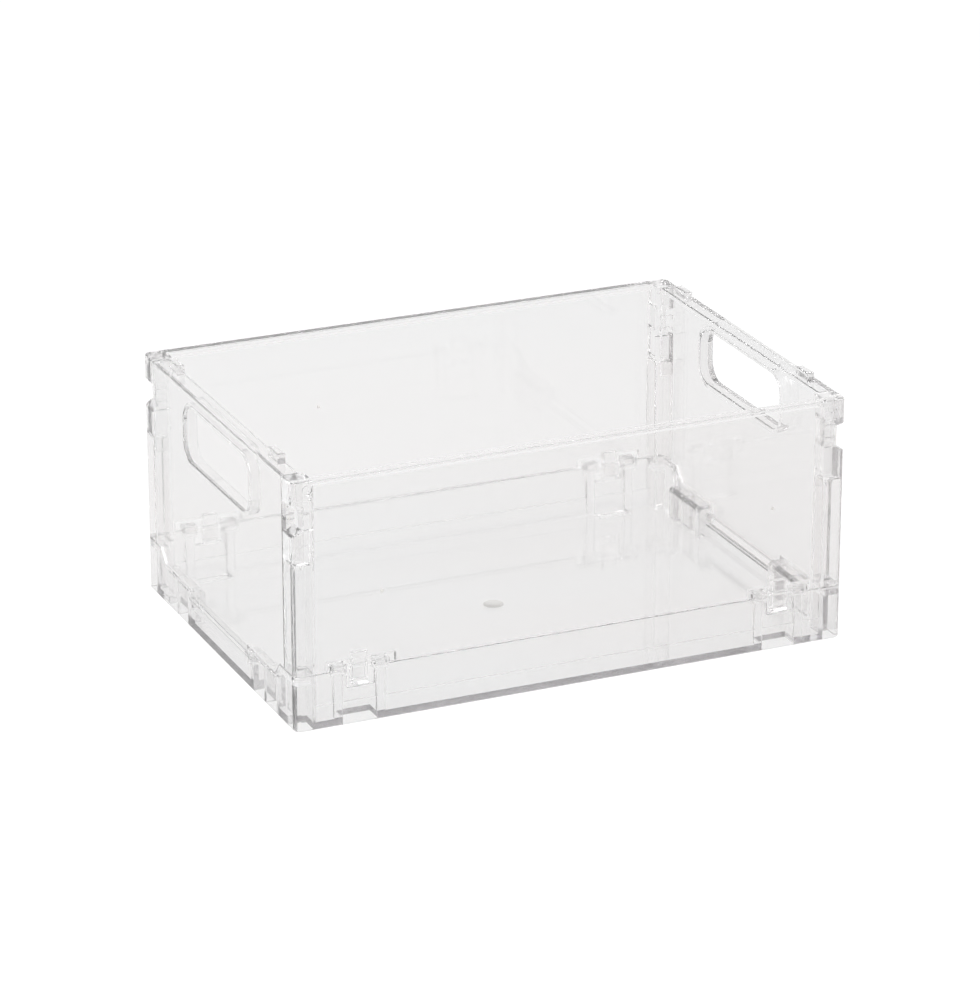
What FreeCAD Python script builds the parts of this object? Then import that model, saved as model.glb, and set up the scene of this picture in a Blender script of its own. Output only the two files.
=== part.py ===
import FreeCAD, Part
import Sketcher
import math
import os

# Folding storage crate of clear plastic: a low base tray, two long walls with corner columns, two end
# walls that fold inward on pins, and the pins of both kinds of hinge.
# Millimetres. X runs along the crate, Y across it and Z up. The origin is the centre of the underside.

# Driving sizes: alias, value and what it measures.
SIZES = [
    ("crate_length", 270.0, "outside length along X"),
    ("crate_width", 188.0, "outside width along Y"),
    ("crate_height", 117.0, "height of the walls above the ground"),
    ("corner_radius", 3.5, "vertical outer corners"),
    ("edge_radius", 0.6, "small rounding of rims and edges"),
    ("fine_radius", 0.4, "finest rounding, where pieces stand edge to edge"),
    ("foot_radius", 0.9, "lower outer edge of the tray"),
    ("skin", 2.3, "wall plates and skirts"),
    ("part_gap", 0.4, "gap between pieces that stand edge to edge"),
    ("floor_thickness", 2.8, "tray floor"),
    ("tray_height", 26.0, "skirts and corner posts of the tray"),
    ("ledge_height", 10.5, "top of the end rims and of the thicker lower skirt"),
    ("ledge_skin", 3.3, "lower skirt"),
    ("rim_depth", 5.5, "end rims along X"),
    ("slope_run", 6.0, "slope from the lugs up to the corner posts"),
    ("column_length", 10.5, "corner columns and posts along X"),
    ("column_depth", 12.0, "corner columns and posts along Y"),
    ("column_wall", 1.6, "walls of the cored columns, posts and lugs"),
    ("stub_radius", 2.5, "locating stub on each corner post"),
    ("stub_rise", 2.4, "height of the stub"),
    ("post_core_top", 21.5, "top of the core under each corner post"),
    ("notch_depth", 5.0, "notch in the end face of a column"),
    ("notch_drop", 11.5, "top of the notch below the rim"),
    ("notch_height", 14.0, "notch along Z"),
    ("notch_slope", 3.0, "rise of the sloped foot of the notch"),
    ("collar_drop", 38.0, "foot of the solid collar below the rim, where the column's core ends"),
    ("recess_depth", 1.6, "latch recess in the inner side of a column"),
    ("recess_drop", 11.5, "top of the latch recess below the rim"),
    ("recess_height", 13.5, "latch recess along Z"),
    ("groove_width", 1.2, "marking grooves across the collar"),
    ("groove_depth", 0.4, "depth of the marking grooves"),
    ("dimple_radius", 2.2, "round dimple in the top block of a column"),
    ("dimple_inset", 7.2, "dimple centre from the end face"),
    ("dimple_drop", 3.8, "dimple centre below the rim"),
    ("rim_width", 6.0, "top rim of a long wall along Y"),
    ("rim_height", 2.6, "top rims along Z"),
    ("flange_width", 8.2, "top flange of an end wall along X"),
    ("tab_height", 45.0, "side tabs of an end wall down from the rim"),
    ("tab_skin", 1.6, "side tabs"),
    ("latch_rise", 1.2, "latch ribs proud of the side tabs"),
    ("latch_height", 2.2, "each latch rib along Z"),
    ("latch_pitch", 6.0, "from one latch rib to the next"),
    ("latch_width", 6.0, "latch ribs along X"),
    ("hole_width", 82.0, "hand hole along Y"),
    ("hole_drop", 7.0, "top of the hand hole below the rim"),
    ("hole_height", 26.5, "hand hole along Z"),
    ("hole_radius", 9.0, "corners of the hand hole"),
    ("collar_depth", 7.0, "hand-hole collar along X"),
    ("collar_skin", 2.2, "wall of the hand-hole collar"),
    ("bump_inset", 3.5, "stacking bumps from the end face"),
    ("bump_width", 3.7, "stacking bumps along X"),
    ("bump_near", 57.5, "inner end of a stacking bump along Y"),
    ("bump_length", 11.0, "stacking bumps along Y"),
    ("bump_rise", 4.8, "stacking bumps above the rim"),
    ("bump_slack", 0.6, "play round a stacking bump in its pocket"),
    ("pivot_inset", 3.5, "end-hinge axis from the end face"),
    ("pivot_height", 14.0, "end-hinge axis above the ground"),
    ("lug_reach", 5.3, "inner face of a lug from the hinge axis"),
    ("lug_top", 18.3, "top of the lugs"),
    ("lug_round", 2.5, "inner top edge of a lug"),
    ("lug_clearance", 1.7, "gap between a lug and the cut-out of its end wall"),
    ("barrel_radius", 2.2, "hinge barrel of an end wall"),
    ("lug_near", 36.0, "inner end of a lug along Y"),
    ("lug_length", 34.0, "lugs along Y"),
    ("lug_gap", 0.3, "play between the barrel and a lug"),
    ("end_pin_radius", 1.2, "pins of the end hinges"),
    ("end_pin_seat", 4.0, "pin length in the lug"),
    ("end_pin_reach", 5.0, "pin length in the barrel"),
    ("pin_slack", 0.06, "radial play of a running pin"),
    ("seat_slack", 0.02, "radial play of a seated pin"),
    ("hinge_inset", 21.2, "outer rib of a long-wall hinge from the end face"),
    ("hinge_pitch", 20.4, "from one rib to the next"),
    ("rib_width", 4.0, "rib stems along X"),
    ("cap_width", 6.6, "rib caps along X"),
    ("cap_low", 23.5, "foot of the rib caps"),
    ("cap_high", 28.7, "top of the rib caps"),
    ("cap_depth", 6.2, "rib caps along Y"),
    ("rib_depth", 4.6, "rib stems along Y"),
    ("long_pin_inset", 3.2, "long-hinge axis from the outer face"),
    ("long_pin_height", 26.4, "long-hinge axis above the ground"),
    ("long_pin_radius", 1.2, "pins of the long hinges"),
    ("tongue_low", 17.8, "foot of a hinge tongue"),
    ("tongue_depth", 5.6, "hinge tongues along Y, from the outer face of their wall"),
    ("tongue_inset", 1.1, "outer face of a tongue behind that of its wall"),
    ("tongue_width", 7.0, "hinge tongues along X"),
    ("slot_low", 20.0, "foot of the lift slot in a tongue"),
    ("relief_high", 31.0, "top of the cut-out above a hinge"),
    ("relief_side", 3.2, "cut-out beyond the rib caps"),
    ("window_depth", 12.0, "window in the floor between two ribs, from the outer face"),
]

doc = FreeCAD.newDocument("storage_crate")
sheet = doc.addObject("Spreadsheet::Sheet", "Sizes")
for row, (alias, value, note) in enumerate(SIZES, start=1):
    sheet.set(f"A{row}", note)
    sheet.set(f"B{row}", str(value))
    sheet.setAlias(f"B{row}", alias)
doc.recompute()

# Places that several pieces share, as expressions on the sheet.
S = "Sizes."
END = f"({S}crate_length / 2)"
SIDE = f"({S}crate_width / 2)"
PLATE_END = f"({END} - {S}skin)"
PLATE_SIDE = f"({SIDE} - {S}skin)"
COLUMN_END = f"({END} - {S}column_length)"
COLUMN_SIDE = f"({SIDE} - {S}column_depth)"
WALL_EDGE = f"({COLUMN_SIDE} - {S}part_gap)"
WALL_FOOT = f"({S}tray_height + {S}part_gap)"
RIM_TOP = f"({S}crate_height)"
RIM_FOOT = f"({S}crate_height - {S}rim_height)"
PIVOT_X = f"({END} - {S}pivot_inset)"
PIVOT_Z = f"({S}pivot_height)"
LUG_NEAR = f"({S}lug_near)"
LUG_FAR = f"({S}lug_near + {S}lug_length)"
BARREL_END = f"({S}lug_near - {S}lug_gap)"
LUG_TOP = f"({S}lug_top)"
LUG_FACE = f"({PIVOT_X} - {S}lug_reach)"
CUT_FOOT = f"({S}lug_top + {S}lug_clearance)"
PIN_Y = f"({SIDE} - {S}long_pin_inset)"
PIN_Z = f"({S}long_pin_height)"
RIB_FAR = f"({END} - {S}hinge_inset)"
RIB_NEAR = f"({RIB_FAR} - {S}hinge_pitch)"
TONGUE_NEAR = f"({RIB_NEAR} + {S}hinge_pitch / 2 - {S}tongue_width / 2)"
TONGUE_FAR = f"({RIB_NEAR} + {S}hinge_pitch / 2 + {S}tongue_width / 2)"
NOTCH_HIGH = f"({RIM_TOP} - {S}notch_drop)"
NOTCH_LOW = f"({NOTCH_HIGH} - {S}notch_height)"
COLLAR_LOW = f"({RIM_TOP} - {S}collar_drop)"
RECESS_HIGH = f"({RIM_TOP} - {S}recess_drop)"
RECESS_LOW = f"({RECESS_HIGH} - {S}recess_height)"
HOLE_HIGH = f"({RIM_TOP} - {S}hole_drop)"
HOLE_LOW = f"({HOLE_HIGH} - {S}hole_height)"
BUMP_FAR = f"({END} - {S}bump_inset)"
BUMP_NEAR = f"({BUMP_FAR} - {S}bump_width)"
BUMP_START = f"({S}bump_near)"
BUMP_STOP = f"({S}bump_near + {S}bump_length)"


def number(expression):
    """The value in millimetres that an expression on the sheet has now."""
    return float(sheet.evalExpression(expression))


def origin_plane(body, name):
    """The body's own XY, XZ or YZ plane."""
    for feature in body.Origin.OriginFeatures:
        if feature.Role == f"{name}_Plane":
            return feature
    raise ValueError(f"{body.Label} has no {name} plane")


def new_body(label):
    """An empty body that carries a piece's name."""
    body = doc.addObject("PartDesign::Body", label)
    body.Label = label
    return body


def new_sketch(body, name, plane, level):
    """A sketch at a level along the plane's axis. The XZ plane faces -Y, so its offset turns round."""
    sketch = body.newObject("Sketcher::SketchObject", name)
    sketch.AttachmentSupport = [(origin_plane(body, plane), "")]
    sketch.MapMode = "FlatFace"
    sign = "-" if plane == "XZ" else ""
    sketch.setExpression("AttachmentOffset.Base.z", f"{sign}({level})")
    return sketch


def hold_point(sketch, edge, end, x, y):
    """Tie one end of an edge to a place given by two expressions."""
    for kind, axis, expression in (("DistanceX", -2, x), ("DistanceY", -1, y)):
        if abs(number(expression)) < 1e-9:
            sketch.addConstraint(Sketcher.Constraint("PointOnObject", edge, end, axis))
            continue
        constraint = Sketcher.Constraint(kind, -1, 1, edge, end, number(expression))
        index = sketch.addConstraint(constraint)
        sketch.setExpression(f"Constraints[{index}]", expression)


def draw_polygon(sketch, points):
    """A closed outline of straight edges through points, each a pair of expressions."""
    places = [FreeCAD.Vector(number(x), number(y), 0) for x, y in points]
    first = sketch.GeometryCount
    count = len(places)
    for i in range(count):
        sketch.addGeometry(Part.LineSegment(places[i], places[(i + 1) % count]))
    for i in range(count):
        following = first + (i + 1) % count
        sketch.addConstraint(Sketcher.Constraint("Coincident", first + i, 2, following, 1))
    for i, (x, y) in enumerate(points):
        hold_point(sketch, first + i, 1, x, y)


def draw_rectangle(sketch, left, right, low, high):
    """A rectangle between four expressions."""
    draw_polygon(sketch, [(left, low), (right, low), (right, high), (left, high)])


def draw_circle(sketch, x, y, radius):
    """A circle tied to its centre and radius."""
    centre = FreeCAD.Vector(number(x), number(y), 0)
    circle = Part.Circle(centre, FreeCAD.Vector(0, 0, 1), number(radius))
    edge = sketch.addGeometry(circle)
    hold_point(sketch, edge, 3, x, y)
    index = sketch.addConstraint(Sketcher.Constraint("Radius", edge, number(radius)))
    sketch.setExpression(f"Constraints[{index}]", radius)


def draw_slot(sketch, x, low, high, radius):
    """An upright slot with round ends, between two centre heights."""
    cx, cl, ch, cr = number(x), number(low), number(high), number(radius)
    up = FreeCAD.Vector(0, 0, 1)
    top_circle = Part.Circle(FreeCAD.Vector(cx, ch, 0), up, cr)
    foot_circle = Part.Circle(FreeCAD.Vector(cx, cl, 0), up, cr)
    top = sketch.addGeometry(Part.ArcOfCircle(top_circle, 0, math.pi))
    left = sketch.addGeometry(Part.LineSegment(FreeCAD.Vector(cx - cr, ch, 0),
                                               FreeCAD.Vector(cx - cr, cl, 0)))
    foot = sketch.addGeometry(Part.ArcOfCircle(foot_circle, math.pi, 2 * math.pi))
    right = sketch.addGeometry(Part.LineSegment(FreeCAD.Vector(cx + cr, cl, 0),
                                                FreeCAD.Vector(cx + cr, ch, 0)))
    sketch.addConstraint(Sketcher.Constraint("Tangent", top, 2, left, 1))
    sketch.addConstraint(Sketcher.Constraint("Tangent", left, 2, foot, 1))
    sketch.addConstraint(Sketcher.Constraint("Tangent", foot, 2, right, 1))
    sketch.addConstraint(Sketcher.Constraint("Tangent", right, 2, top, 1))
    hold_point(sketch, top, 3, x, high)
    hold_point(sketch, foot, 3, x, low)
    index = sketch.addConstraint(Sketcher.Constraint("Radius", top, cr))
    sketch.setExpression(f"Constraints[{index}]", radius)


def pad(body, name, plane, start, stop, draw, *values):
    """Add material between two levels along the plane's axis, in the shape that draw makes."""
    before = body.Shape.Volume if body.Tip else 0.0
    level = stop if plane == "XZ" else start
    sketch = new_sketch(body, f"{name}_outline", plane, level)
    draw(sketch, *values)
    feature = body.newObject("PartDesign::Pad", name)
    feature.Profile = sketch
    feature.setExpression("Length", f"({stop}) - ({start})")
    feature.Refine = True
    doc.recompute()
    if not body.Shape.Volume > before:
        raise ValueError(f"{name} added nothing")
    return feature


def pocket(body, name, plane, start, stop, draw, *values):
    """Cut material away between two levels along the plane's axis."""
    before = body.Shape.Volume
    level = start if plane == "XZ" else stop
    sketch = new_sketch(body, f"{name}_outline", plane, level)
    draw(sketch, *values)
    feature = body.newObject("PartDesign::Pocket", name)
    feature.Profile = sketch
    feature.setExpression("Length", f"({stop}) - ({start})")
    feature.Refine = True
    doc.recompute()
    if not body.Shape.Volume < before:
        raise ValueError(f"{name} cut nothing")
    return feature


def edges_where(shape, test):
    """The names of the edges whose every sampled point passes the test."""
    names = []
    for index, edge in enumerate(shape.Edges, start=1):
        if edge.Length > 1e-4 and all(test(point) for point in edge.discretize(3)):
            names.append(f"Edge{index}")
    return names


def round_edges(body, name, test, radius):
    """Fillet the edges of the body's tip that pass the test."""
    base = body.Tip
    names = edges_where(base.Shape, test)
    if not names:
        raise ValueError(f"{name} found no edge")
    feature = body.newObject("PartDesign::Fillet", name)
    feature.Base = (base, names)
    feature.setExpression("Radius", radius)
    feature.Refine = True
    doc.recompute()
    if feature.Shape.isNull() or "Invalid" in feature.State:
        raise ValueError(f"{name} can't round {len(names)} edges")
    return feature


def mirror_whole(body, name, plane):
    """Double the whole body about one of its own planes."""
    feature = body.newObject("PartDesign::Mirrored", name)
    feature.TransformMode = "Whole shape"
    feature.MirrorPlane = (origin_plane(body, plane), [""])
    feature.Refine = True
    body.Tip = feature
    doc.recompute()
    return feature


def near(value, expression):
    """True where a coordinate lies at the place that an expression gives."""
    return abs(value - number(expression)) < 1e-4


def is_outline(point):
    """True on the outline that the tray and the walls share, rounded corner included."""
    radius = number(f"{S}corner_radius")
    dx = point.x - (number(END) - radius)
    dy = point.y - (number(SIDE) - radius)
    if dx > 0 and dy > 0:
        return abs(math.hypot(dx, dy) - radius) < 1e-3
    return near(point.x, END) or near(point.y, SIDE)


def is_lug_end(point):
    """True on the top and the rounded corner of a lug's inner end."""
    rounded_from = number(LUG_TOP) - number(f"{S}lug_round") - 1e-3
    return near(point.y, LUG_NEAR) and point.z > rounded_from


def build_tray():
    """Base tray: one quarter is drawn in +X and +Y and mirrored twice."""
    body = new_body("base_tray")
    pad(body, "floor", "XY", "0", f"{S}floor_thickness", draw_rectangle, "0", END, "0", SIDE)
    pad(body, "side_skirt", "XY", "0", f"{S}tray_height",
        draw_rectangle, "0", END, PLATE_SIDE, SIDE)
    pad(body, "side_ledge", "XY", "0", f"{S}ledge_height",
        draw_rectangle, "0", END, f"{SIDE} - {S}ledge_skin", SIDE)
    pad(body, "end_rim", "XY", "0", f"{S}ledge_height",
        draw_rectangle, f"{END} - {S}rim_depth", END, "0", SIDE)
    pad(body, "corner_slope", "YZ", f"{END} - {S}rim_depth", END, draw_polygon, [
        (LUG_FAR, f"{S}floor_thickness"),
        (SIDE, f"{S}floor_thickness"),
        (SIDE, f"{S}tray_height"),
        (f"{LUG_FAR} + {S}slope_run", f"{S}tray_height"),
        (LUG_FAR, LUG_TOP),
    ])
    pad(body, "corner_post", "XY", "0", f"{S}tray_height",
        draw_rectangle, COLUMN_END, END, COLUMN_SIDE, SIDE)
    pad(body, "stub", "XY", f"{S}tray_height", f"{S}tray_height + {S}stub_rise",
        draw_circle, f"{END} - {S}column_length / 2", f"{SIDE} - {S}column_depth / 2",
        f"{S}stub_radius")
    pad(body, "lug", "XZ", LUG_NEAR, LUG_FAR, draw_rectangle, LUG_FACE, END, "0", LUG_TOP)
    build_hinge_ribs(body)
    cut_tray(body)
    round_tray(body)
    mirror_whole(body, "across_width", "XZ")
    mirror_whole(body, "across_length", "YZ")
    return body


def build_hinge_ribs(body):
    """Two upright ribs with round-topped caps, which hold the pin of a long-wall hinge."""
    for place, centre in (("near", RIB_NEAR), ("far", RIB_FAR)):
        pad(body, f"rib_{place}", "YZ", f"{centre} - {S}rib_width / 2", f"{centre} + {S}rib_width / 2",
            draw_rectangle, f"{SIDE} - {S}rib_depth", SIDE, "0", f"{S}cap_low")
        pad(body, f"cap_{place}", "YZ", f"{centre} - {S}cap_width / 2", f"{centre} + {S}cap_width / 2",
            draw_rectangle, f"{SIDE} - {S}cap_depth", SIDE, f"{S}cap_low", f"{S}cap_high")


def cut_tray(body):
    """Openings of the tray: tongue gaps, pin bores, floor windows, cores and stacking pockets."""
    pocket(body, "tongue_gap", "XZ", f"{SIDE} - {S}cap_depth - 1", SIDE, draw_rectangle,
           f"{RIB_NEAR} + {S}cap_width / 2", f"{RIB_FAR} - {S}cap_width / 2",
           f"{S}tongue_low - {S}part_gap", f"{S}cap_high")
    pocket(body, "long_pin_bore", "YZ", f"{RIB_NEAR} - {S}cap_width / 2 + {S}column_wall / 2",
           f"{RIB_FAR} + {S}cap_width / 2 - {S}column_wall / 2",
           draw_circle, PIN_Y, PIN_Z, f"{S}long_pin_radius + {S}seat_slack")
    pocket(body, "end_pin_bore", "XZ", LUG_NEAR, f"{LUG_NEAR} + {S}end_pin_seat + {S}part_gap",
           draw_circle, PIVOT_X, PIVOT_Z, f"{S}end_pin_radius + {S}seat_slack")
    pocket(body, "floor_window", "XY", "0", f"{S}floor_thickness", draw_rectangle,
           f"{RIB_NEAR} + {S}rib_width / 2", f"{RIB_FAR} - {S}rib_width / 2",
           f"{SIDE} - {S}window_depth", f"{SIDE} - {S}ledge_skin")
    pocket(body, "post_core", "XY", "0", f"{S}post_core_top", draw_rectangle,
           f"{COLUMN_END} + {S}column_wall", f"{END} - {S}column_wall",
           f"{COLUMN_SIDE} + {S}column_wall", f"{SIDE} - {S}column_wall")
    pocket(body, "stacking_pocket", "XY", "0", f"{S}bump_rise + {S}bump_slack", draw_rectangle,
           f"{BUMP_NEAR} - {S}bump_slack", f"{BUMP_FAR} + {S}bump_slack",
           f"{BUMP_START} - {S}bump_slack", f"{BUMP_STOP} + {S}bump_slack")
    pocket(body, "lug_core", "XY", "0", f"{LUG_TOP} - {S}column_wall", draw_rectangle,
           f"{LUG_FACE} + {S}column_wall", f"{END} - {S}column_wall",
           f"{LUG_NEAR} + {S}end_pin_seat + {S}part_gap + {S}column_wall",
           f"{BUMP_START} - {S}bump_slack - {S}column_wall")
    pocket(body, "pocket_core", "XY", f"{S}bump_rise", f"{LUG_TOP} - {S}column_wall", draw_rectangle,
           f"{LUG_FACE} + {S}column_wall", f"{BUMP_FAR} + {S}bump_slack", BUMP_START, BUMP_STOP)


def round_tray(body):
    """Round the outer corner of the quarter tray and the rims that show."""
    round_edges(body, "corner_round",
                lambda p: near(p.x, END) and near(p.y, SIDE), f"{S}corner_radius")
    round_edges(body, "skirt_round",
                lambda p: near(p.y, PLATE_SIDE) and near(p.z, f"{S}tray_height"),
                f"{S}edge_radius")
    round_edges(body, "rim_round",
                lambda p: near(p.x, f"{END} - {S}rim_depth") and near(p.z, f"{S}ledge_height"),
                f"{S}edge_radius")
    round_edges(body, "cap_round",
                lambda p: near(p.y, f"{SIDE} - {S}cap_depth") and near(p.z, f"{S}cap_high"),
                f"{S}long_pin_radius")
    round_edges(body, "stub_round",
                lambda p: near(p.z, f"{S}tray_height + {S}stub_rise"), f"{S}edge_radius * 2")
    round_edges(body, "lug_round",
                lambda p: near(p.x, LUG_FACE) and near(p.z, LUG_TOP), f"{S}lug_round")
    round_edges(body, "lug_end_round", is_lug_end, f"{S}edge_radius")
    round_edges(body, "parting_round",
                lambda p: near(p.z, f"{S}tray_height") and is_outline(p), f"{S}fine_radius")
    round_edges(body, "foot_round",
                lambda p: near(p.z, "0") and is_outline(p), f"{S}foot_radius")


def build_long_wall(label):
    """Long wall at +Y: one half is drawn in +X and mirrored."""
    body = new_body(label)
    pad(body, "plate", "XY", WALL_FOOT, RIM_TOP,
        draw_rectangle, "0", END, PLATE_SIDE, SIDE)
    pad(body, "rim", "XY", RIM_FOOT, RIM_TOP,
        draw_rectangle, "0", END, f"{SIDE} - {S}rim_width", SIDE)
    pad(body, "column", "XY", WALL_FOOT, RIM_TOP,
        draw_rectangle, COLUMN_END, END, COLUMN_SIDE, SIDE)
    pocket(body, "column_core", "XY", WALL_FOOT, COLLAR_LOW, draw_rectangle,
           f"{COLUMN_END} + {S}column_wall", f"{END} - {S}column_wall",
           f"{COLUMN_SIDE} + {S}column_wall", f"{SIDE} - {S}column_wall")
    round_edges(body, "core_round", lambda p: near(p.z, COLLAR_LOW), f"{S}edge_radius * 4")
    pocket(body, "end_notch", "XZ", COLUMN_SIDE, SIDE, draw_polygon, [
        (f"{END} - {S}notch_depth", f"{NOTCH_LOW} + {S}notch_slope"),
        (END, NOTCH_LOW),
        (END, NOTCH_HIGH),
        (f"{END} - {S}notch_depth", f"{NOTCH_HIGH} - {S}edge_radius"),
    ])
    pocket(body, "latch_recess", "XY", RECESS_LOW, RECESS_HIGH, draw_rectangle,
           COLUMN_END, f"{END} - {S}edge_radius", COLUMN_SIDE, f"{COLUMN_SIDE} + {S}recess_depth")
    for place, level in (("low", f"{COLLAR_LOW} + {S}rim_height"), ("high", f"{RECESS_HIGH} + 1.2")):
        pocket(body, f"groove_{place}", "YZ", COLUMN_END, f"{COLUMN_END} + {S}groove_depth",
               draw_rectangle, f"{COLUMN_SIDE} + {S}edge_radius * 2", PLATE_SIDE,
               level, f"{level} + {S}groove_width")
    pocket(body, "dimple", "XZ", f"{SIDE} - {S}groove_depth * 2", SIDE, draw_circle,
           f"{END} - {S}dimple_inset", f"{S}crate_height - {S}dimple_drop", f"{S}dimple_radius")
    pocket(body, "hinge_relief", "XZ", PLATE_SIDE, SIDE, draw_rectangle,
           f"{RIB_NEAR} - {S}cap_width / 2 - {S}relief_side",
           f"{RIB_FAR} + {S}cap_width / 2 + {S}relief_side", WALL_FOOT, f"{S}relief_high")
    pad(body, "tongue", "YZ", TONGUE_NEAR, TONGUE_FAR, draw_rectangle,
        f"{SIDE} - {S}tongue_depth", f"{SIDE} - {S}tongue_inset",
        f"{S}tongue_low", f"{S}relief_high + {S}skin")
    pocket(body, "lift_slot", "YZ", TONGUE_NEAR, TONGUE_FAR, draw_slot,
           PIN_Y, f"{S}slot_low + {S}long_pin_radius", PIN_Z, f"{S}long_pin_radius + {S}pin_slack")
    round_long_wall(body)
    mirror_whole(body, "both_halves", "YZ")
    return body


def round_long_wall(body):
    """Round the outer corner, the rim and the tongue of a half long wall."""
    round_edges(body, "corner_round",
                lambda p: near(p.x, END) and near(p.y, SIDE), f"{S}corner_radius")
    round_edges(body, "rim_round",
                lambda p: near(p.z, RIM_TOP)
                and (near(p.y, SIDE) or near(p.y, f"{SIDE} - {S}rim_width")), f"{S}edge_radius")
    round_edges(body, "parting_round",
                lambda p: near(p.z, WALL_FOOT) and is_outline(p), f"{S}fine_radius")
    round_edges(body, "column_round",
                lambda p: near(p.x, COLUMN_END) and near(p.y, COLUMN_SIDE), f"{S}edge_radius")
    round_edges(body, "joint_round",
                lambda p: near(p.x, END) and near(p.y, COLUMN_SIDE), f"{S}fine_radius")
    round_edges(body, "tongue_round",
                lambda p: near(p.y, f"{SIDE} - {S}tongue_depth")
                and (near(p.z, f"{S}tongue_low") or near(p.z, f"{S}relief_high + {S}skin")),
                f"{S}edge_radius * 3")


def build_end_wall(label):
    """End wall at +X: one half is drawn in +Y and mirrored."""
    body = new_body(label)
    pad(body, "plate", "YZ", PLATE_END, END, draw_polygon, [
        ("0", PIVOT_Z),
        (BARREL_END, PIVOT_Z),
        (BARREL_END, CUT_FOOT),
        (LUG_FAR, CUT_FOOT),
        (f"{LUG_FAR} + {S}slope_run", WALL_FOOT),
        (WALL_EDGE, WALL_FOOT),
        (WALL_EDGE, RIM_TOP),
        ("0", RIM_TOP),
    ])
    pad(body, "barrel", "XZ", "0", BARREL_END, draw_circle, PIVOT_X, PIVOT_Z, f"{S}barrel_radius")
    pad(body, "flange", "XY", RIM_FOOT, RIM_TOP,
        draw_rectangle, f"{END} - {S}flange_width", END, "0", WALL_EDGE)
    pad(body, "side_tab", "XY", f"{RIM_TOP} - {S}tab_height", RIM_TOP, draw_rectangle,
        f"{END} - {S}flange_width", END, f"{WALL_EDGE} - {S}tab_skin", WALL_EDGE)
    add_latch_ribs(body)
    pad(body, "collar", "YZ", f"{END} - {S}collar_depth", END, draw_rectangle,
        "0", f"{S}hole_width / 2 + {S}collar_skin",
        f"{HOLE_LOW} - {S}collar_skin", f"{HOLE_HIGH} + {S}collar_skin")
    pad(body, "stacking_bump", "XY", RIM_TOP, f"{S}crate_height + {S}bump_rise",
        draw_rectangle, BUMP_NEAR, BUMP_FAR, BUMP_START, BUMP_STOP)
    pocket(body, "hand_hole", "YZ", f"{END} - {S}collar_depth", END, draw_rectangle,
           "0", f"{S}hole_width / 2", HOLE_LOW, HOLE_HIGH)
    pocket(body, "end_pin_bore", "XZ", f"{LUG_NEAR} - {S}end_pin_reach - {S}part_gap", BARREL_END,
           draw_circle, PIVOT_X, PIVOT_Z, f"{S}end_pin_radius + {S}pin_slack")
    round_end_wall(body)
    mirror_whole(body, "both_halves", "XZ")
    return body


def add_latch_ribs(body):
    """Short ribs on the side tab, which lie in the latch recess of the column."""
    rib_count = int(number(f"({RECESS_HIGH} - {RECESS_LOW}) / {S}latch_pitch"))
    for index in range(rib_count):
        low = f"({RECESS_LOW} + {S}latch_height + {index} * {S}latch_pitch)"
        pad(body, f"latch_rib_{index + 1}", "XZ", WALL_EDGE, f"{WALL_EDGE} + {S}latch_rise",
            draw_rectangle, f"{END} - {S}flange_width", f"{END} - {S}flange_width + {S}latch_width",
            low, f"{low} + {S}latch_height")


def is_hole_rim(point):
    """True on the edge of the hand hole in either face of the wall and its collar."""
    on_face = near(point.x, END) or near(point.x, f"{END} - {S}collar_depth")
    reach_y = number(f"{S}hole_width / 2") + 1e-3
    low, high = number(HOLE_LOW) - 1e-3, number(HOLE_HIGH) + 1e-3
    return on_face and point.y < reach_y and low < point.z < high


def round_end_wall(body):
    """Round the hand hole, its collar, the stacking bump and the top of the flange."""
    hole_edge = f"{S}hole_width / 2"
    collar_edge = f"{S}hole_width / 2 + {S}collar_skin"
    round_edges(body, "hole_round",
                lambda p: near(p.y, hole_edge)
                and (near(p.z, HOLE_LOW) or near(p.z, HOLE_HIGH)), f"{S}hole_radius")
    round_edges(body, "collar_round",
                lambda p: near(p.y, collar_edge)
                and (near(p.z, f"{HOLE_LOW} - {S}collar_skin")
                     or near(p.z, f"{HOLE_HIGH} + {S}collar_skin")),
                f"{S}hole_radius + {S}collar_skin")
    round_edges(body, "bump_round",
                lambda p: near(p.z, f"{S}crate_height + {S}bump_rise"), f"{S}edge_radius")
    round_edges(body, "flange_round",
                lambda p: near(p.z, RIM_TOP) and near(p.x, END), f"{S}edge_radius")
    round_edges(body, "flange_lip_round",
                lambda p: near(p.x, f"{END} - {S}flange_width")
                and (near(p.z, RIM_TOP) or near(p.z, RIM_FOOT)), f"{S}edge_radius")
    round_edges(body, "joint_round",
                lambda p: near(p.x, END) and near(p.y, WALL_EDGE), f"{S}fine_radius")
    round_edges(body, "hole_edge_round", is_hole_rim, f"{S}edge_radius")


def build_pin(label, axis, start, length, radius, first, second):
    """A plain pin along X or Y from its start, with the other two places given in order."""
    pin = doc.addObject("Part::Cylinder", label)
    pin.Label = label
    pin.setExpression("Radius", radius)
    pin.setExpression("Height", length)
    if axis == "X":
        places = {"x": start, "y": first, "z": second}
        pin.Placement = FreeCAD.Placement(FreeCAD.Vector(), FreeCAD.Rotation(FreeCAD.Vector(0, 1, 0), 90))
    else:
        places = {"x": first, "y": start, "z": second}
        pin.Placement = FreeCAD.Placement(FreeCAD.Vector(), FreeCAD.Rotation(FreeCAD.Vector(1, 0, 0), -90))
    for name, expression in places.items():
        pin.setExpression(f"Placement.Base.{name}", expression)
    return pin


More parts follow.
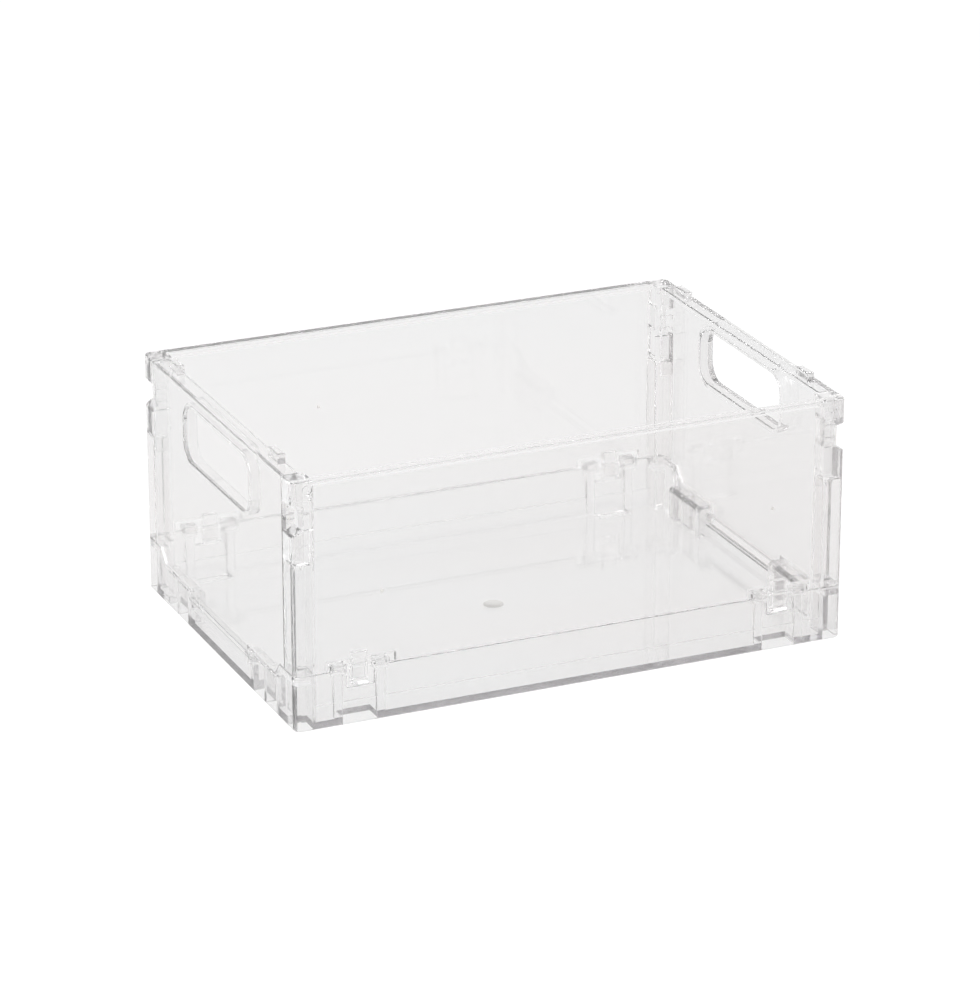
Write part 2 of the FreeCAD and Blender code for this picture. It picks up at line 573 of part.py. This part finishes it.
def build_long_pins():
    """Pins of the four long-wall hinges, from rib to rib."""
    length = f"{S}hinge_pitch + {S}cap_width - {S}column_wall"
    reach = f"({RIB_NEAR} - {S}cap_width / 2 + {S}column_wall / 2)"
    pins = []
    for side, y in (("front", f"-{PIN_Y}"), ("back", PIN_Y)):
        for end, x in (("left", f"-{reach} - ({length})"), ("right", reach)):
            pins.append(build_pin(f"{side}_{end}_hinge_pin", "X", x, length,
                                  f"{S}long_pin_radius", y, PIN_Z))
    return pins


def build_end_pins():
    """Pins of the end hinges, each from the barrel into a lug."""
    length = f"{S}end_pin_reach + {S}end_pin_seat"
    start = f"({S}lug_near - {S}end_pin_reach)"
    pins = []
    for end, x in (("left", f"-{PIVOT_X}"), ("right", PIVOT_X)):
        for side, y in (("front", f"-{start} - ({length})"), ("back", start)):
            pins.append(build_pin(f"{end}_end_{side}_pin", "Y", y, length,
                                  f"{S}end_pin_radius", x, PIVOT_Z))
    return pins


half_turn = FreeCAD.Placement(FreeCAD.Vector(), FreeCAD.Rotation(FreeCAD.Vector(0, 0, 1), 180))
pieces = [build_tray()]
back_wall = build_long_wall("back_wall")
front_wall = build_long_wall("front_wall")
front_wall.Placement = half_turn
right_end_wall = build_end_wall("right_end_wall")
left_end_wall = build_end_wall("left_end_wall")
left_end_wall.Placement = half_turn
pieces += [front_wall, back_wall, left_end_wall, right_end_wall]
pieces += build_long_pins()
pieces += build_end_pins()
doc.recompute()

for item in doc.Objects:
    if "Invalid" in item.State or "Error" in item.State:
        raise RuntimeError(f"{item.Label} is not up to date: {item.State}")
for piece in pieces:
    if piece.Shape.isNull() or not piece.Shape.isValid() or len(piece.Shape.Solids) != 1:
        raise RuntimeError(f"{piece.Label} is not one valid solid")

os.makedirs("parts", exist_ok=True)
for piece in pieces:
    piece.Shape.exportStep(os.path.join("parts", f"{piece.Label}.step"))
    box = piece.Shape.BoundBox
    print(f"{piece.Label}: volume {piece.Shape.Volume / 1000:.2f} cm3, "
          f"x {box.XMin:.2f} to {box.XMax:.2f}, y {box.YMin:.2f} to {box.YMax:.2f}, "
          f"z {box.ZMin:.2f} to {box.ZMax:.2f}")
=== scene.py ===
# %% [markdown]
# # A clear folding storage crate
#
# The real object is a small crate for craft supplies, moulded in clear plastic. A tray
# with low skirts carries two long walls with square corner columns, and two end walls
# with hand holes stand between the columns and fold inward on pins.
#
# All the hard shapes come from the CAD model, so this scene doesn't model them again.
# It gives them their finish, adds the small marks that the mould leaves, and sets up
# the studio: camera, floor, surroundings and one lamp. Lengths are in metres.

# %% Load the crate
import math

import bpy
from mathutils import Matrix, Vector


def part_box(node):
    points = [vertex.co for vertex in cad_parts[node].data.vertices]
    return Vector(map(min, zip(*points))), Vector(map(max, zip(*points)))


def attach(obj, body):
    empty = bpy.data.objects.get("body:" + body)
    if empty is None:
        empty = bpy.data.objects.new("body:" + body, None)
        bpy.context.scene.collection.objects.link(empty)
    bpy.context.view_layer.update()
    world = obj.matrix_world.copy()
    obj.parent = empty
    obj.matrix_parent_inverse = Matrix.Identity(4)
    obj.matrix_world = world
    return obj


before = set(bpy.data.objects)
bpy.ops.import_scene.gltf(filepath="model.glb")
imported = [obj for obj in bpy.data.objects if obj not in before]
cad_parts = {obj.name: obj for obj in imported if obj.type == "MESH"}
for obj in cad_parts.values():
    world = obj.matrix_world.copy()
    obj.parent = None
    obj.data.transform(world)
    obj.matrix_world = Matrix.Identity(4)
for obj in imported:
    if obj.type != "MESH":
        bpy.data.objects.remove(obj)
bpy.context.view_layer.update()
MM = 0.001

# %% [markdown]
# ## The camera
#
# The picture was taken from the left of the front, a little more than 2 m away, looking
# down by about 21 degrees. The long lens keeps the crate's edges nearly parallel.
# Two points, the camera's place and the point it looks at, are easier to read and to
# change than three angles, so the turn is worked out from them.

# %% Place the camera
CAMERA_PLACE = Vector((-0.81048, -1.8306, 0.83052))
CAMERA_AIM = Vector((0.00834, 0.01891, 0.05239))
LENS_MM = 170.06
SENSOR_MM = 36

bpy.ops.object.camera_add(location=CAMERA_PLACE)
camera = bpy.context.object
camera.name = "studio_camera"
camera.rotation_euler = (CAMERA_AIM - CAMERA_PLACE).to_track_quat("-Z", "Y").to_euler()
camera.data.lens = LENS_MM
camera.data.sensor_width = SENSOR_MM
bpy.context.scene.camera = camera
distance = (CAMERA_AIM - CAMERA_PLACE).length
print(f"camera {distance:.2f} m away, lens {LENS_MM} mm")

# %% [markdown]
# ## Helpers for node trees
#
# Every finish here is a small graph of shader nodes. Two helpers keep the cells short:
# one adds a node and sets its inputs by name, the other joins two sockets.

# %% Node helpers
def add_node(tree, kind, place, **settings):
    """Add a node at a place in the editor, and set its inputs or its own options."""
    node = tree.nodes.new(kind)
    node.location = place
    for name, value in settings.items():
        socket = node.inputs.get(name.replace("_", " "))
        if socket is not None:
            socket.default_value = value
        else:
            setattr(node, name, value)
    return node


def join(tree, source, target):
    """Draw the wire from an output to an input."""
    tree.links.new(source, target)


# %% [markdown]
# ## What light meets in clear plastic
#
# Moulded clear plastic is not a perfect crystal. Where the melt ran into the mould it
# keeps faint long ripples, which make straight lines behind it waver. It has a breath
# of colour, warm here and cool there, that changes slowly across a wall. Handling
# leaves the polish a little uneven.
#
# All three effects follow the flow of the melt, so one node group makes them from the
# same stretched noise, and each piece places that group with its own direction.

# %% Group: flow of the melt
flow_group = bpy.data.node_groups.new("melt flow", "ShaderNodeTree")
for name, kind, value in (
    ("Along X", "NodeSocketFloat", 6.0),
    ("Along Y", "NodeSocketFloat", 40.0),
    ("Along Z", "NodeSocketFloat", 40.0),
    ("Clear Colour", "NodeSocketColor", (0.97, 0.97, 0.97, 1)),
    ("Warm Colour", "NodeSocketColor", (0.975, 0.96, 0.955, 1)),
    ("Polish", "NodeSocketFloat", 0.01),
    ("Smudge", "NodeSocketFloat", 0.05),
):
    flow_group.interface.new_socket(name, in_out="INPUT", socket_type=kind).default_value = value
for name, kind in (("Colour", "NodeSocketColor"), ("Roughness", "NodeSocketFloat"),
                   ("Height", "NodeSocketFloat")):
    flow_group.interface.new_socket(name, in_out="OUTPUT", socket_type=kind)

given = add_node(flow_group, "NodeGroupInput", (-1000, 0))
result = add_node(flow_group, "NodeGroupOutput", (600, 0))
place = add_node(flow_group, "ShaderNodeTexCoord", (-1000, 300))
stretch = add_node(flow_group, "ShaderNodeCombineXYZ", (-800, 0))
for axis in "XYZ":
    join(flow_group, given.outputs[f"Along {axis}"], stretch.inputs[axis])
scaled = add_node(flow_group, "ShaderNodeVectorMath", (-600, 200), operation="MULTIPLY")
join(flow_group, place.outputs["Object"], scaled.inputs[0])
join(flow_group, stretch.outputs["Vector"], scaled.inputs[1])

ripple = add_node(flow_group, "ShaderNodeTexNoise", (-350, 300), Scale=1.0, Detail=2.0,
                  Roughness=0.45, Distortion=0.3)
join(flow_group, scaled.outputs["Vector"], ripple.inputs["Vector"])
join(flow_group, ripple.outputs["Fac"], result.inputs["Height"])

drift = add_node(flow_group, "ShaderNodeTexNoise", (-350, 0), Scale=0.45, Detail=1.0)
join(flow_group, scaled.outputs["Vector"], drift.inputs["Vector"])
warmth = add_node(flow_group, "ShaderNodeMapRange", (-100, 0))
warmth.inputs["From Min"].default_value = 0.4
warmth.inputs["From Max"].default_value = 0.65
join(flow_group, drift.outputs["Fac"], warmth.inputs["Value"])
tone = add_node(flow_group, "ShaderNodeMix", (150, 0), data_type="RGBA")
join(flow_group, warmth.outputs["Result"], tone.inputs["Factor"])
join(flow_group, given.outputs["Clear Colour"], tone.inputs["A"])
join(flow_group, given.outputs["Warm Colour"], tone.inputs["B"])
join(flow_group, tone.outputs["Result"], result.inputs["Colour"])

touch = add_node(flow_group, "ShaderNodeTexNoise", (-350, -300), Scale=28.0, Detail=4.0)
join(flow_group, place.outputs["Object"], touch.inputs["Vector"])
polish = add_node(flow_group, "ShaderNodeMapRange", (-100, -300))
polish.inputs["From Min"].default_value = 0.45
polish.inputs["From Max"].default_value = 0.75
join(flow_group, touch.outputs["Fac"], polish.inputs["Value"])
join(flow_group, given.outputs["Polish"], polish.inputs["To Min"])
join(flow_group, given.outputs["Smudge"], polish.inputs["To Max"])
join(flow_group, polish.outputs["Result"], result.inputs["Roughness"])
print("group", flow_group.name, "with", len(flow_group.nodes), "nodes")

# %% [markdown]
# ## The clear plastic itself
#
# A glass shader bends what shows through it, and that is what makes a clear crate
# readable: the flat walls stay open, while every rim and rib bends the white studio
# into thin grey lines. Styrene plastics have an index near 1.59 and acrylics one near
# 1.49. The lower one keeps the edges as fine as they are in the picture.
#
# Two details matter. A volume inside the material takes a little light for every
# centimetre of plastic, so a wall seen face on stays clear and the floor seen through
# its edge goes dark, as on the real crate. That dark edge is the strongest line in the
# picture, so the tray's volume takes twice as much as the walls' does. And lamps have
# to shine through the walls: a ray that asks for shadow, or one that gathers soft
# light, passes a plain see-through shader, which costs far less than true caustics.

# %% Material: clear plastic
INDEX = 1.5
THROUGH_A_WALL = (0.95, 0.95, 0.95, 1)
INSIDE_COLOUR = (0.56, 0.54, 0.56, 1)
INSIDE_DENSITY = 4.0
TRAY_DENSITY = 8.0
PIN_DENSITY = 0.5


def clear_plastic(name, flow, ripple_height, tone=(0.97, 0.97, 0.97, 1),
                  warm=(0.97, 0.962, 0.96, 1), polish=0.0, smudge=0.03,
                  density=INSIDE_DENSITY):
    """A clear material whose ripples run along the flow, given as its three stretches."""
    material = bpy.data.materials.new(name)
    material.use_nodes = True
    tree = material.node_tree
    tree.nodes.clear()
    output = add_node(tree, "ShaderNodeOutputMaterial", (700, 0))
    melt = add_node(tree, "ShaderNodeGroup", (-500, 0), node_tree=flow_group)
    for axis, value in zip("XYZ", flow):
        melt.inputs[f"Along {axis}"].default_value = value
    melt.inputs["Clear Colour"].default_value = tone
    melt.inputs["Warm Colour"].default_value = warm
    melt.inputs["Polish"].default_value = polish
    melt.inputs["Smudge"].default_value = smudge
    bump = add_node(tree, "ShaderNodeBump", (-250, -250), Strength=1.0, Distance=ripple_height)
    join(tree, melt.outputs["Height"], bump.inputs["Height"])
    plastic = add_node(tree, "ShaderNodeBsdfPrincipled", (0, 100), IOR=INDEX)
    plastic.inputs["Transmission Weight"].default_value = 0.97
    join(tree, melt.outputs["Colour"], plastic.inputs["Base Color"])
    join(tree, melt.outputs["Roughness"], plastic.inputs["Roughness"])
    join(tree, bump.outputs["Normal"], plastic.inputs["Normal"])
    see_through = add_node(tree, "ShaderNodeBsdfTransparent", (0, -450), Color=THROUGH_A_WALL)
    ray = add_node(tree, "ShaderNodeLightPath", (0, 450))
    either = add_node(tree, "ShaderNodeMath", (250, 350), operation="MAXIMUM")
    join(tree, ray.outputs["Is Shadow Ray"], either.inputs[0])
    join(tree, ray.outputs["Is Diffuse Ray"], either.inputs[1])
    choose = add_node(tree, "ShaderNodeMixShader", (450, 100))
    join(tree, either.outputs["Value"], choose.inputs["Fac"])
    join(tree, plastic.outputs["BSDF"], choose.inputs[1])
    join(tree, see_through.outputs["BSDF"], choose.inputs[2])
    join(tree, choose.outputs["Shader"], output.inputs["Surface"])
    inside = add_node(tree, "ShaderNodeVolumeAbsorption", (450, -200), Color=INSIDE_COLOUR,
                      Density=density)
    join(tree, inside.outputs["Volume"], output.inputs["Volume"])
    return material


# %% One plastic for each kind of piece
HANDLED = {"polish": 0.03, "smudge": 0.07}
ROD_TONE = (0.99, 0.99, 0.99, 1)
tray_plastic = clear_plastic("clear tray plastic", (9, 30, 30), 0.00002, density=TRAY_DENSITY)
wall_plastic = clear_plastic("clear long wall plastic", (5, 30, 26), 0.00003, **HANDLED)
end_plastic = clear_plastic("clear end wall plastic", (30, 7, 24), 0.00003, **HANDLED,
                            tone=(0.96, 0.96, 0.96, 1), warm=(0.958, 0.95, 0.948, 1))
rod_plastic = clear_plastic("clear pin rod", (60, 60, 60), 0.00001, smudge=0.02,
                            tone=ROD_TONE, warm=ROD_TONE, density=PIN_DENSITY)
print("plastics:", [m.name for m in (tray_plastic, wall_plastic, end_plastic, rod_plastic)])

# %% [markdown]
# ## Dressing the CAD pieces
#
# The tray, the four walls and the pins keep their CAD meshes, because those shapes are
# right. Only the material in their slot changes. The melt ran from the middle of each
# piece towards its ends, so the long walls ripple along X and the end walls along Y.

# %% Give each piece its plastic
finish_of = {
    "base_tray": tray_plastic,
    "front_wall": wall_plastic,
    "back_wall": wall_plastic,
    "left_end_wall": end_plastic,
    "right_end_wall": end_plastic,
}
for name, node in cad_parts.items():
    finish = finish_of.get(name, rod_plastic)
    node.data.materials.clear()
    node.data.materials.append(finish)
    print(name, "->", finish.name)

# %% [markdown]
# ## Marks of the mould
#
# Melt enters a mould through a gate. On the real crate the main gate left a low, cloudy
# round swelling in the middle of the floor, a little under 10 mm across. There are also
# three specks on the long walls. All four are tiny, but in clear plastic they catch the
# eye, because each bends and scatters the light.
#
# A flat disc would show only as a ring. So each mark starts as a circle, grows a short
# rim, and is drawn in twice towards its middle, which leaves a low dome with a real
# edge. The face operators push along the face's own direction, so the same steps work
# on the floor and on an upright wall.

# %% Helper: a low dome
RIM_RISE = 0.45  # of the rise, in the upright rim
FIRST_STEP_IN, FIRST_STEP_UP = 0.3, 0.35  # of the radius and of the rise
SECOND_STEP_IN, SECOND_STEP_UP = 0.35, 0.2
SOFT_RIM = 0.15  # of the rise
SMOOTH_UNDER = math.radians(50)


def low_dome(name, place, turn, radius, rise, finish, steps=48):
    """A low dome on a flat face, at a place and turned to stand off that face."""
    bpy.ops.object.select_all(action="DESELECT")
    bpy.ops.mesh.primitive_circle_add(vertices=steps, radius=radius, fill_type="NGON",
                                      location=place, rotation=turn)
    dome = bpy.context.object
    dome.name = name
    bpy.ops.object.transform_apply(location=True, rotation=True, scale=True)
    bpy.ops.object.mode_set(mode="EDIT")
    bpy.ops.mesh.select_all(action="SELECT")
    bpy.ops.mesh.extrude_region_shrink_fatten(
        TRANSFORM_OT_shrink_fatten={"value": rise * RIM_RISE})
    bpy.ops.mesh.inset(thickness=radius * FIRST_STEP_IN, depth=rise * FIRST_STEP_UP)
    bpy.ops.mesh.inset(thickness=radius * SECOND_STEP_IN, depth=rise * SECOND_STEP_UP)
    bpy.ops.mesh.select_all(action="SELECT")
    bpy.ops.mesh.normals_make_consistent(inside=False)
    bpy.ops.object.mode_set(mode="OBJECT")
    bevel = dome.modifiers.new("soft rim", "BEVEL")
    bevel.width = rise * SOFT_RIM
    bevel.segments = 2
    bevel.limit_method = "ANGLE"
    bpy.ops.object.modifier_apply(modifier=bevel.name)
    bpy.ops.object.shade_smooth_by_angle(angle=SMOOTH_UNDER)
    dome.data.materials.append(finish)
    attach(dome, "base")
    print(name, "at mm", [round(v / MM, 1) for v in place], "faces", len(dome.data.polygons))
    return dome


# %% Finish of the marks
gate_plastic = clear_plastic("cloudy gate plastic", (90, 90, 90), 0.00002,
                             tone=(1.0, 0.985, 0.96, 1), warm=(0.99, 0.97, 0.94, 1),
                             polish=0.28, smudge=0.38, density=2.0)
print("finish of the marks:", gate_plastic.name)

# %% Swelling in the middle of the floor
FLOOR_TOP = 2.8 * MM
MARK_LIFT = 0.01 * MM
GATE_RADIUS = 4.8 * MM
GATE_RISE = 0.22 * MM
low_dome("floor_gate_mark", (2.0 * MM, 1.8 * MM, FLOOR_TOP + MARK_LIFT), (0, 0, 0),
         GATE_RADIUS, GATE_RISE, gate_plastic)

# %% Specks on the long walls
SKIN = 2.3 * MM
SPECK_RADIUS = 0.8 * MM
SPECK_RISE = 0.35 * MM
SPECK_STEPS = 20
tray_low, tray_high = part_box("base_tray")
front_inner = tray_low[1] + SKIN + MARK_LIFT
back_inner = tray_high[1] - SKIN - MARK_LIFT
to_back = (-math.pi / 2, 0, 0)
to_front = (math.pi / 2, 0, 0)
for name, x, inner_face, z, turn in (
    ("front_left_speck", -92.7, front_inner, 60.3, to_back),
    ("front_right_speck", 99.2, front_inner, 68.7, to_back),
    ("back_speck", -48.4, back_inner, 78.1, to_front),
):
    low_dome(name, (x * MM, inner_face, z * MM), turn, SPECK_RADIUS, SPECK_RISE, gate_plastic,
             steps=SPECK_STEPS)

# %% [markdown]
# ## The floor
#
# The picture has a plain white ground that shows no grain. A pale matte plane takes
# the soft shadow, and the camera, reflections and rays through the plastic also see a
# share of even white on it. That share doesn't light the crate: it is shown only to
# those rays. The plane lies a hair below the crate, because plastic that touches the
# floor only at its feet has air under it, and that air is what traps light inside.

# %% Make the floor
FLOOR_SIZE = 16
FLOOR_DROP = 0.3 * MM

bpy.ops.object.select_all(action="DESELECT")
bpy.ops.mesh.primitive_plane_add(size=FLOOR_SIZE, location=(0, 0, -FLOOR_DROP))
floor = bpy.context.object
floor.name = "studio_floor"
print("floor", floor.dimensions[:2], "m")

# %% Finish of the floor
FLOOR_PALE = 0.45
FLOOR_WHITE = 0.6
FLOOR_THROUGH = 0.44

floor_finish = bpy.data.materials.new("pale studio floor")
floor_finish.use_nodes = True
tree = floor_finish.node_tree
tree.nodes.clear()
output = add_node(tree, "ShaderNodeOutputMaterial", (600, 0))
matte = add_node(tree, "ShaderNodeBsdfDiffuse", (0, 100), Color=(FLOOR_PALE,) * 3 + (1,))
glow = add_node(tree, "ShaderNodeEmission", (0, -100))
ray = add_node(tree, "ShaderNodeLightPath", (-700, -100))
bent = add_node(tree, "ShaderNodeMath", (-450, -200), operation="MAXIMUM")
bent_share = add_node(tree, "ShaderNodeMath", (-300, -200), operation="MULTIPLY")
bent_share.inputs[1].default_value = FLOOR_THROUGH
share = add_node(tree, "ShaderNodeMath", (-150, -100), operation="MULTIPLY_ADD")
share.inputs[1].default_value = FLOOR_WHITE
both = add_node(tree, "ShaderNodeAddShader", (300, 0))
join(tree, ray.outputs["Is Glossy Ray"], bent.inputs[0])
join(tree, ray.outputs["Is Transmission Ray"], bent.inputs[1])
join(tree, bent.outputs["Value"], bent_share.inputs[0])
join(tree, ray.outputs["Is Camera Ray"], share.inputs[0])
join(tree, bent_share.outputs["Value"], share.inputs[2])
join(tree, share.outputs["Value"], glow.inputs["Strength"])
join(tree, matte.outputs["BSDF"], both.inputs[0])
join(tree, glow.outputs["Emission"], both.inputs[1])
join(tree, both.outputs["Shader"], output.inputs["Surface"])
floor.data.materials.append(floor_finish)
print("floor finish:", floor_finish.name, "with", len(tree.nodes), "nodes")

# %% [markdown]
# ## The surroundings
#
# A white tent stands round the crate, bright near the horizon and greyer overhead.
# Clear plastic only mirrors and bends what is round it, so this slow change from white
# to grey is what draws its edges. The change depends on height alone, and the crate
# looks alike from every side.

# %% Make the world
TENT_TONES = ((0.0, 0.93), (0.30, 0.96), (0.55, 0.89), (0.95, 0.8))

world = bpy.data.worlds.new("white tent")
bpy.context.scene.world = world
world.use_nodes = True
tree = world.node_tree
tree.nodes.clear()
output = add_node(tree, "ShaderNodeOutputWorld", (700, 0))
direction = add_node(tree, "ShaderNodeTexCoord", (-700, 0))
parts = add_node(tree, "ShaderNodeSeparateXYZ", (-500, 0))
shade = add_node(tree, "ShaderNodeValToRGB", (-300, 0))
for stop, (height, level) in enumerate(TENT_TONES):
    if stop > 1:
        shade.color_ramp.elements.new(height)
    shade.color_ramp.elements[stop].position = height
    shade.color_ramp.elements[stop].color = (level, level, level, 1)
tent = add_node(tree, "ShaderNodeBackground", (100, 0))
plain = add_node(tree, "ShaderNodeBackground", (100, -200), Color=(1, 1, 1, 1))
ray = add_node(tree, "ShaderNodeLightPath", (100, 300))
choose = add_node(tree, "ShaderNodeMixShader", (450, 0))
join(tree, direction.outputs["Generated"], parts.inputs["Vector"])
join(tree, parts.outputs["Z"], shade.inputs["Fac"])
join(tree, shade.outputs["Color"], tent.inputs["Color"])
join(tree, ray.outputs["Is Camera Ray"], choose.inputs["Fac"])
join(tree, tent.outputs["Background"], choose.inputs[1])
join(tree, plain.outputs["Background"], choose.inputs[2])
join(tree, choose.outputs["Shader"], output.inputs["Surface"])
print("world", world.name)

# %% [markdown]
# ## One soft lamp
#
# A single large lamp over the left shoulder of the camera gives the rims and caps
# their small white lights. It is weak, because the tent already lights the crate at a
# plain level.

# %% Hang the lamp
LAMP_PLACE = Vector((-0.6, -0.7, 1.3))
LAMP_AIM = Vector((0, 0, 0.05))
LAMP_WATTS = 10
LAMP_WIDTH = 0.9

bpy.ops.object.light_add(type="AREA", location=LAMP_PLACE)
lamp = bpy.context.object
lamp.name = "soft_lamp"
lamp.data.energy = LAMP_WATTS
lamp.data.size = LAMP_WIDTH
lamp.rotation_euler = (LAMP_AIM - LAMP_PLACE).to_track_quat("-Z", "Y").to_euler()
print("lamp", LAMP_WATTS, "W")

# %% [markdown]
# ## Enough bounces
#
# Light that enters the floor of the crate at its edge runs along inside it and is
# turned back at the faces again and again. A renderer that gives up after a dozen
# bounces paints such places black, so it is allowed more here.

# %% Let light bounce longer
BOUNCES = 40
cycles = bpy.context.scene.cycles
cycles.max_bounces = BOUNCES
cycles.transmission_bounces = BOUNCES
cycles.glossy_bounces = BOUNCES
cycles.transparent_max_bounces = BOUNCES
print("bounces", cycles.max_bounces)

# %% Finish
bpy.context.scene.view_settings.view_transform = "Standard"
